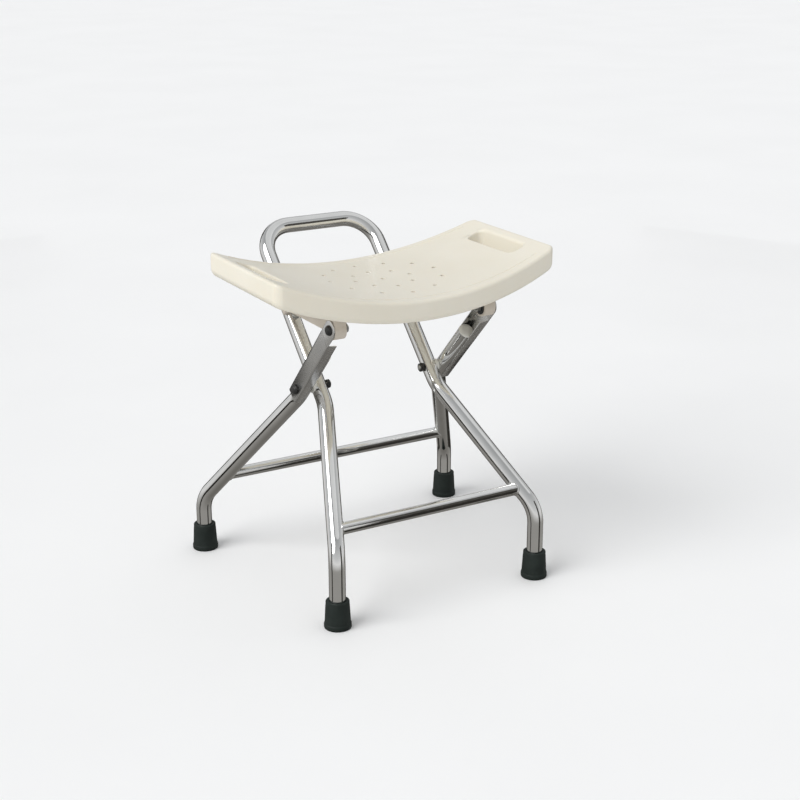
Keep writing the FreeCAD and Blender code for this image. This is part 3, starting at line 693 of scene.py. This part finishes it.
# %% Stop screws
RAIL = (HANDLE_CORNER - FRONT_SPLAY).normalized()
RAIL_SQUARE = Vector((0, -RAIL.z, RAIL.y))
SADDLE_START = 92 * MM
STOP_BACK_OFF = 6.8 * MM
BLADE_SIZE = (7 * MM, 1.2 * MM, 3.6 * MM)
BLADE_HEIGHT = 4 * MM
on_rail = FRONT_SPLAY + RAIL * ((SADDLE_START - FRONT_SPLAY.y) / RAIL.y)
stop_spot = on_rail - RAIL * STOP_BACK_OFF + RAIL_SQUARE * TUBE_RADIUS

screw = turned("stop_screw", [
    (3, -7), (3, -1.4), (6.1, -1.4), (6.5, -0.9), (6.5, 1.2), (6.1, 2.6), (5, 3.7), (3.2, 4.3),
    (1, 4.5)], 40)
for turn in (0, math.pi / 2):
    bpy.ops.mesh.primitive_cube_add(size=1, location=(0, 0, BLADE_HEIGHT), rotation=(0, 0, turn))
    blade = bpy.context.object
    blade.scale = BLADE_SIZE
    settle(blade)
    carve(screw, blade)
pair(screw, stop_spot, RAIL_SQUARE, "stop_screw_pair", "seat_stop_screws")

# %% [markdown]
# ## The seat, flat first
# The seat is a blow-moulded slab, barrel-shaped from above and dished along its length. It is
# far easier to work on while it is flat, so the outline, the rounded rims, the hand slots, the
# drain holes and the fine edge lines all come first, and the dish is bent in at the end.

# %% Seat outline
HALF_LENGTH = 241 * MM
END_HALF = 119 * MM
MIDDLE_HALF = 144 * MM
SEAT_BACK = -25.4 * MM
THICK = 34 * MM
CORNER = 13 * MM
OUTLINE_CUTS = 44
LATTICE_COLUMNS = 49

bpy.ops.mesh.primitive_plane_add(size=1)
seat = bpy.context.object
seat.name = "moulded_seat"
seat.scale = (2 * HALF_LENGTH, 2 * END_HALF, 1)
settle(seat)
edit(seat)
bpy.ops.mesh.bevel(offset=CORNER, segments=8, affect="VERTICES")
pick("EDGE", edge_all(lambda co: abs(co.y) > END_HALF - NEAR))
bpy.ops.mesh.subdivide(number_cuts=OUTLINE_CUTS)
pick("FACE", lambda face: True)
bpy.ops.mesh.dissolve_faces()
leave()
print("outline corners", len(seat.data.vertices))

# %% [markdown]
# ## Bending with a lattice
# A lattice is a cage of points. Where its points are moved, the mesh inside follows, as foam
# would. One lattice with a column every centimetre does both jobs here: first it bows the
# front and back edges in plan, later it drops the middle of the seat into its dish.

# %% Lattice helper


def bend_in_cage(piece, low, high, move):
    """Deform a piece by a lattice over the box from low to high; `move` shifts each point."""
    bpy.ops.object.add(type="LATTICE", location=(low + high) / 2)
    cage = bpy.context.object
    cage.scale = high - low
    data = cage.data
    data.points_u, data.points_v, data.points_w = LATTICE_COLUMNS, 2, 2
    data.interpolation_type_u = "KEY_LINEAR"
    data.interpolation_type_v = "KEY_LINEAR"
    data.interpolation_type_w = "KEY_LINEAR"
    bpy.context.view_layer.update()
    into_cage = cage.matrix_world.inverted()
    for corner in data.points:
        spot = cage.matrix_world @ corner.co
        corner.co_deform = into_cage @ move(spot)
    modify(piece, "LATTICE", object=cage)
    bpy.data.objects.remove(cage)


BOW = MIDDLE_HALF - END_HALF
BOW_RADIUS = (HALF_LENGTH ** 2 + BOW ** 2) / (2 * BOW)


def bowed(spot):
    """Widen the plan towards the middle, on an arc."""
    half = MIDDLE_HALF - BOW_RADIUS + math.sqrt(BOW_RADIUS ** 2 - spot.x ** 2)
    return Vector((spot.x, spot.y * half / END_HALF, spot.z))


cage_corner = Vector((HALF_LENGTH, END_HALF, THICK))
bend_in_cage(seat, -cage_corner, cage_corner, bowed)
print("plan depth", round(seat.dimensions.y, 4))

# %% [markdown]
# ## Slab and rims
# A moulded seat has no sharp rim, and its lower one is rounder so that it leaves the mould. The
# outline is extruded into a slab and both rims are bevelled while the faces are still flat,
# because one bevel then runs cleanly all the way round.

# %% Slab and rims
TOP_ROUND = 6 * MM
UNDER_ROUND = 9 * MM

edit(seat)
bpy.ops.mesh.extrude_region_move(TRANSFORM_OT_translate={"value": (0, 0, -THICK)})
bpy.ops.mesh.select_all(action="SELECT")
bpy.ops.mesh.normals_make_consistent(inside=False)
pick("EDGE", edge_all(lambda co: co.z > -NEAR))
bpy.ops.mesh.bevel(offset=TOP_ROUND, segments=6, affect="EDGES")
pick("EDGE", edge_all(lambda co: co.z < -THICK + NEAR))
bpy.ops.mesh.bevel(offset=UNDER_ROUND, segments=7, affect="EDGES")
leave()
print("slab faces", len(seat.data.polygons))

# %% [markdown]
# ## Recess underneath
# The middle of the underside is a little sunk, which keeps a large flat face from bulging as
# it cools. The face is inset to leave a border, two cuts mark where the recess ends, and small
# insets with depth make a soft step. A cutter would do too, but would leave sharp edges.

# %% Underside recess
UNDER_BORDER = 10 * MM
UNDER_END = 100 * MM
UNDER_STEP = 0.4 * MM
UNDER_STEPS = 3
HALF_FACE = 0.05
THIRD_FACE = 0.01


def under_faces(near, far, least_area=0):
    """Select faces of the underside, by their distance from the middle and their size."""
    pick("FACE", lambda face: abs(face.calc_center_median().z + THICK) < NEAR
         and near <= abs(face.calc_center_median().x) <= far
         and face.calc_area() > least_area)


edit(seat)
under_faces(0, UNDER_END)
bpy.ops.mesh.inset(thickness=UNDER_BORDER, depth=0)
for side in (-1, 1):
    under_faces(0, UNDER_END, HALF_FACE)
    bpy.ops.mesh.bisect(plane_co=(side * UNDER_END, 0, 0), plane_no=(1, 0, 0))
under_faces(UNDER_END, HALF_LENGTH)
bpy.ops.mesh.dissolve_faces()
under_faces(0, UNDER_END / 2, THIRD_FACE)
for step in range(UNDER_STEPS):
    bpy.ops.mesh.inset(thickness=UNDER_STEP, depth=-UNDER_STEP)
leave()
print("faces with the recess", len(seat.data.polygons))

# %% [markdown]
# ## Slots and drain holes
# The hand slots let the seat be lifted, and two rings of small holes drain the water. They are
# cut right through with simple cutters while the slab is flat, where a straight cutter still
# meets it squarely. All the drain cutters are joined first, so that one cut makes every hole.

# %% Slots and drains
SLOT_X = 208 * MM
SLOT_HALF_WIDTH = 15 * MM
SLOT_HALF_LENGTH = 64 * MM
SLOT_CORNER = 11 * MM
DRAIN_RADIUS = 3.3 * MM
DRAIN_SIDES = 20
DRAIN_RINGS = ((0, 1), (48, 8), (92, 12))

for side in (-1, 1):
    bpy.ops.mesh.primitive_cube_add(size=1, location=(side * SLOT_X, 0, -THICK / 2))
    slot_cutter = bpy.context.object
    slot_cutter.scale = (2 * SLOT_HALF_WIDTH, 2 * SLOT_HALF_LENGTH, 2 * THICK)
    settle(slot_cutter)
    edit(slot_cutter)
    pick("EDGE", lambda edge: abs(edge.verts[0].co.z - edge.verts[1].co.z) > THICK)
    bpy.ops.mesh.bevel(offset=SLOT_CORNER, segments=7, affect="EDGES")
    leave()
    carve(seat, slot_cutter)

drain_cutters = []
for ring, count in DRAIN_RINGS:
    for step in range(count):
        angle = 2 * math.pi * step / count
        spot = Vector((math.cos(angle), math.sin(angle), 0)) * ring * MM
        bpy.ops.mesh.primitive_cylinder_add(
            vertices=DRAIN_SIDES, radius=DRAIN_RADIUS, depth=2 * THICK,
            location=spot - UP * THICK / 2)
        drain_cutters.append(bpy.context.object)
cutter = joined(drain_cutters, "drain_cutter")
settle(cutter)
carve(seat, cutter)
print("faces after cutting", len(seat.data.polygons))

# %% [markdown]
# ## Soft mouths
# A mould rounds the mouth of every opening, which is kind to fingers and catches a thin line
# of light. The edges round each mouth are found by their place and bevelled. A bridge edge that
# the cut left between two holes must not be caught, so for the drains length is tested too.

# %% Soft mouths
SLOT_MOUTH = 4 * MM
SLOT_FOOT = 3 * MM
DRAIN_MOUTH = 0.8 * MM


def at_slot(co):
    """True on the wall of a hand slot."""
    return abs(abs(co.x) - SLOT_X) < SLOT_HALF_WIDTH + NEAR and abs(co.y) < SLOT_HALF_LENGTH + NEAR


def at_drain(co):
    """True on the wall of a drain hole."""
    for ring, count in DRAIN_RINGS:
        angle = round(math.atan2(co.y, co.x) / (2 * math.pi / count)) * 2 * math.pi / count
        spot = Vector((math.cos(angle), math.sin(angle))) * ring * MM
        if (Vector((co.x, co.y)) - spot).length < DRAIN_RADIUS + 5 * NEAR:
            return True
    return False


edit(seat)
pick("EDGE", edge_all(lambda co: co.z > -NEAR and at_slot(co)))
bpy.ops.mesh.bevel(offset=SLOT_MOUTH, segments=5, affect="EDGES")
pick("EDGE", edge_all(lambda co: co.z < -THICK + NEAR and at_slot(co)))
bpy.ops.mesh.bevel(offset=SLOT_FOOT, segments=4, affect="EDGES")
pick("EDGE", lambda edge: edge.calc_length() < DRAIN_RADIUS / 2
     and all(end.co.z > -NEAR and at_drain(end.co) for end in edge.verts))
bpy.ops.mesh.bevel(offset=DRAIN_MOUTH, segments=2, affect="EDGES")
leave()
print("faces with soft mouths", len(seat.data.polygons))

# %% [markdown]
# ## Fine lines along the edges
# A fine line runs inside the front and back edges. Its cutter is a thin square bar laid on
# edge and bowed in the same cage as the outline, so the line keeps parallel to the rim. At the
# front it comes out as a groove. At the back it comes out as a low bead, probably because two
# corners of the bar lie exactly in the face: a cutter is safer a little off such a plane.

# %% Grooves
GROOVE_HALF_LENGTH = 212 * MM
GROOVE_Y = 103 * MM
GROOVE_BAR = 1.9 * MM

for side in (-1, 1):
    bpy.ops.mesh.primitive_cube_add(
        size=1, location=(0, side * GROOVE_Y, 0), rotation=(math.pi / 4, 0, 0))
    bar = bpy.context.object
    bar.scale = (2 * GROOVE_HALF_LENGTH, GROOVE_BAR, GROOVE_BAR)
    settle(bar)
    edit(bar)
    pick("EDGE", lambda edge: edge.calc_length() > GROOVE_HALF_LENGTH)
    bpy.ops.mesh.subdivide(number_cuts=OUTLINE_CUTS)
    leave()
    bend_in_cage(bar, -cage_corner, cage_corner, bowed)
    carve(seat, bar)
print("faces with grooves", len(seat.data.polygons))

# %% [markdown]
# ## Bending the dish
# A flat face can't bend, so the slab is cut into strips, one for each column of the lattice.
# The lattice then puts the top on one circle and the underside on another with the same
# centre, and leaves the ends upright, as the mould does.

# %% Dish
SEAT_HEIGHT = 477 * MM
DISH = 49 * MM
DISH_RADIUS = (HALF_LENGTH ** 2 + DISH ** 2) / (2 * DISH)
DISH_CENTRE = SEAT_HEIGHT + DISH_RADIUS
DEPTH_CUTS = 9

edit(seat)
for column in range(1, LATTICE_COLUMNS - 1):
    bpy.ops.mesh.select_all(action="SELECT")
    across = -HALF_LENGTH + 2 * HALF_LENGTH * column / (LATTICE_COLUMNS - 1)
    bpy.ops.mesh.bisect(plane_co=(across, 0, 0), plane_no=(1, 0, 0))
for row in range(1, DEPTH_CUTS):
    bpy.ops.mesh.select_all(action="SELECT")
    back = -MIDDLE_HALF + 2 * MIDDLE_HALF * row / DEPTH_CUTS
    bpy.ops.mesh.bisect(plane_co=(0, back, 0), plane_no=(0, 1, 0))
leave()


def dished(spot):
    """Drop a point of the flat slab on to the seat's curve."""
    depth = 0 if spot.z > -THICK / 2 else THICK
    height = DISH_CENTRE - math.sqrt((DISH_RADIUS + depth) ** 2 - spot.x ** 2)
    return Vector((spot.x, spot.y + SEAT_BACK, height))


slab_low = Vector((-HALF_LENGTH, -MIDDLE_HALF, -THICK))
slab_high = Vector((HALF_LENGTH, MIDDLE_HALF, 0))
bend_in_cage(seat, slab_low, slab_high, dished)
edit(seat)
bpy.ops.mesh.remove_doubles(threshold=NEAR)
leave()
outwards(seat)
smooth(seat, 32)
modify(seat, "WEIGHTED_NORMAL", keep_sharp=True, weight=60)
hand_over(seat, "seat_shell")

# %% [markdown]
# ## Rails and saddles
# These follow the curve of the seat above and fit round the tubes below, so their shape is
# already settled by the design. A copy of each is merged and its moulded edges are rounded.

# %% Rails and saddles
for side in ("right", "left"):
    for kind, width in (("rail", 1.4 * MM), ("saddle", 1.8 * MM)):
        moulded = copy_of(frame["nodes"][f"seat_{kind}_{side}"], f"moulded_{kind}_{side}")
        moulded.parent = None
        edit(moulded)
        bpy.ops.mesh.remove_doubles(threshold=NEAR)
        bpy.ops.mesh.dissolve_limited(angle_limit=math.radians(1))
        leave()
        modify(moulded, "BEVEL", width=width, segments=3, limit_method="ANGLE",
               angle_limit=math.radians(40))
        smooth(moulded)
        hand_over(moulded, f"seat_{kind}_{side}")

# %% [markdown]
# ## Small pieces that stay as designed
# The nylon spacers, the rail screws and the washers inside the tips are plain discs and
# screws, mostly out of sight. Their shape is right already, so they only get their finish.

# %% Carried-over pieces
for name in ("frame_pivot_spacers", "rail_screws", "front_tip_washers", "rear_tip_washers"):
    node = frame["nodes"][name]
    for slot in node.material_slots:
        slot.material = FINISHES[SLOT_OF[name]]
    print(name, "keeps its shape")

# %% [markdown]
# ## Floor
# The stool stands on plain pale paper. The sheet is large enough that its edge is never seen,
# and it is left out of reflections, where it would turn the legs plain white.

# %% Floor
FLOOR_SIDE = 60

bpy.ops.mesh.primitive_plane_add(size=1)
floor = bpy.context.object
floor.name = "floor"
floor.scale = (FLOOR_SIDE, FLOOR_SIDE, 1)
settle(floor)
paper = finish("pale_floor", (0.92, 0.92, 0.92), (0.94, 0.94, 0.94), 2, (0.6, 0.7), 40, 0.0001)[0]
floor.data.materials.append(paper)
floor.visible_glossy = False

# %% [markdown]
# ## Cards for the reflections
# Chrome shows only what stands round it. A studio sets up dark cards, and each one is drawn by
# the tubes as a long dark line beside the bright ones. Here a ring of upright cards does it,
# seen by reflections alone, so that they neither show nor throw a shadow.

# %% Cards for the reflections
card_paint = finish(
    "dark_card", (0.05, 0.046, 0.04), (0.07, 0.064, 0.055), 2, (0.8, 0.9), 10, 0.0001)[0]
CARD_DISTANCE = 2.6
CARD_LOW = -3.0
CARD_HIGH = 1.7
CARDS = ((303, 0.95), (176, 0.7), (28, 1.3), (95, 1.0))

for bearing, width in CARDS:
    turn = math.radians(bearing)
    spot = Vector((math.cos(turn), math.sin(turn), 0)) * CARD_DISTANCE
    spot.z = (CARD_LOW + CARD_HIGH) / 2
    bpy.ops.mesh.primitive_plane_add(
        size=1, location=spot, rotation=(math.pi / 2, 0, turn + math.pi / 2))
    card = bpy.context.object
    card.name = f"card_{bearing}"
    card.scale = (width, CARD_HIGH - CARD_LOW, 1)
    settle(card)
    card.data.materials.append(card_paint)
    card.visible_camera = False
    card.visible_shadow = False
    card.visible_diffuse = False

# %% [markdown]
# ## Lights
# A soft light from the left brightens the end of the seat and leaves its front in gentle
# shade, and a weaker one from above fills in. A sun with a wide disc is as soft as a large
# lamp, and it lights the whole floor evenly, where a lamp would fade with distance.

# %% Lights
SUNS = (
    ("key", (-2.2, -0.25, 1.9), 45, 2.0),
    ("fill", (0.8, 0.3, 2.6), 70, 0.35),
)
for name, spot, spread, power in SUNS:
    facing = (-Vector(spot)).to_track_quat("-Z", "Y").to_euler()
    bpy.ops.object.light_add(type="SUN", location=spot, rotation=facing)
    lamp = bpy.context.object
    lamp.name = name
    lamp.data.angle = math.radians(spread)
    lamp.data.energy = power

# %% [markdown]
# ## Room
# The rest of what the chrome reflects is a plain room, brightest at eye level and dimmer
# towards the ceiling and the ground. An image could wrap the scene instead, but a few bands of
# colour by height are enough, and they are easy to change.

# %% Room
ROOM_LIGHT = 0.84
ROOM_BANDS = (
    (0.0, (0.20, 0.19, 0.175)),
    (0.34, (0.42, 0.41, 0.39)),
    (0.5, (0.95, 0.95, 0.95)),
    (0.62, (0.75, 0.76, 0.77)),
    (1.0, (0.42, 0.43, 0.44)),
)
world = bpy.data.worlds.new("studio")
bpy.context.scene.world = world
world.use_nodes = True
room = world.node_tree
direction = room.nodes.new("ShaderNodeTexCoord")
split = room.nodes.new("ShaderNodeSeparateXYZ")
height = room.nodes.new("ShaderNodeMapRange")
height.inputs["From Min"].default_value = -1
bands = room.nodes.new("ShaderNodeValToRGB")
for number, (level, colour) in enumerate(ROOM_BANDS):
    if number < 2:
        stop = bands.color_ramp.elements[number]
        stop.position = level
    else:
        stop = bands.color_ramp.elements.new(level)
    stop.color = (*colour, 1)
room.links.new(direction.outputs["Generated"], split.inputs["Vector"])
room.links.new(split.outputs["Z"], height.inputs["Value"])
room.links.new(height.outputs["Result"], bands.inputs["Fac"])
room.links.new(bands.outputs["Color"], room.nodes["Background"].inputs["Color"])
room.nodes["Background"].inputs["Strength"].default_value = ROOM_LIGHT
bpy.context.scene.view_settings.view_transform = "Standard"
print("suns", len(SUNS), "cards", len(CARDS))
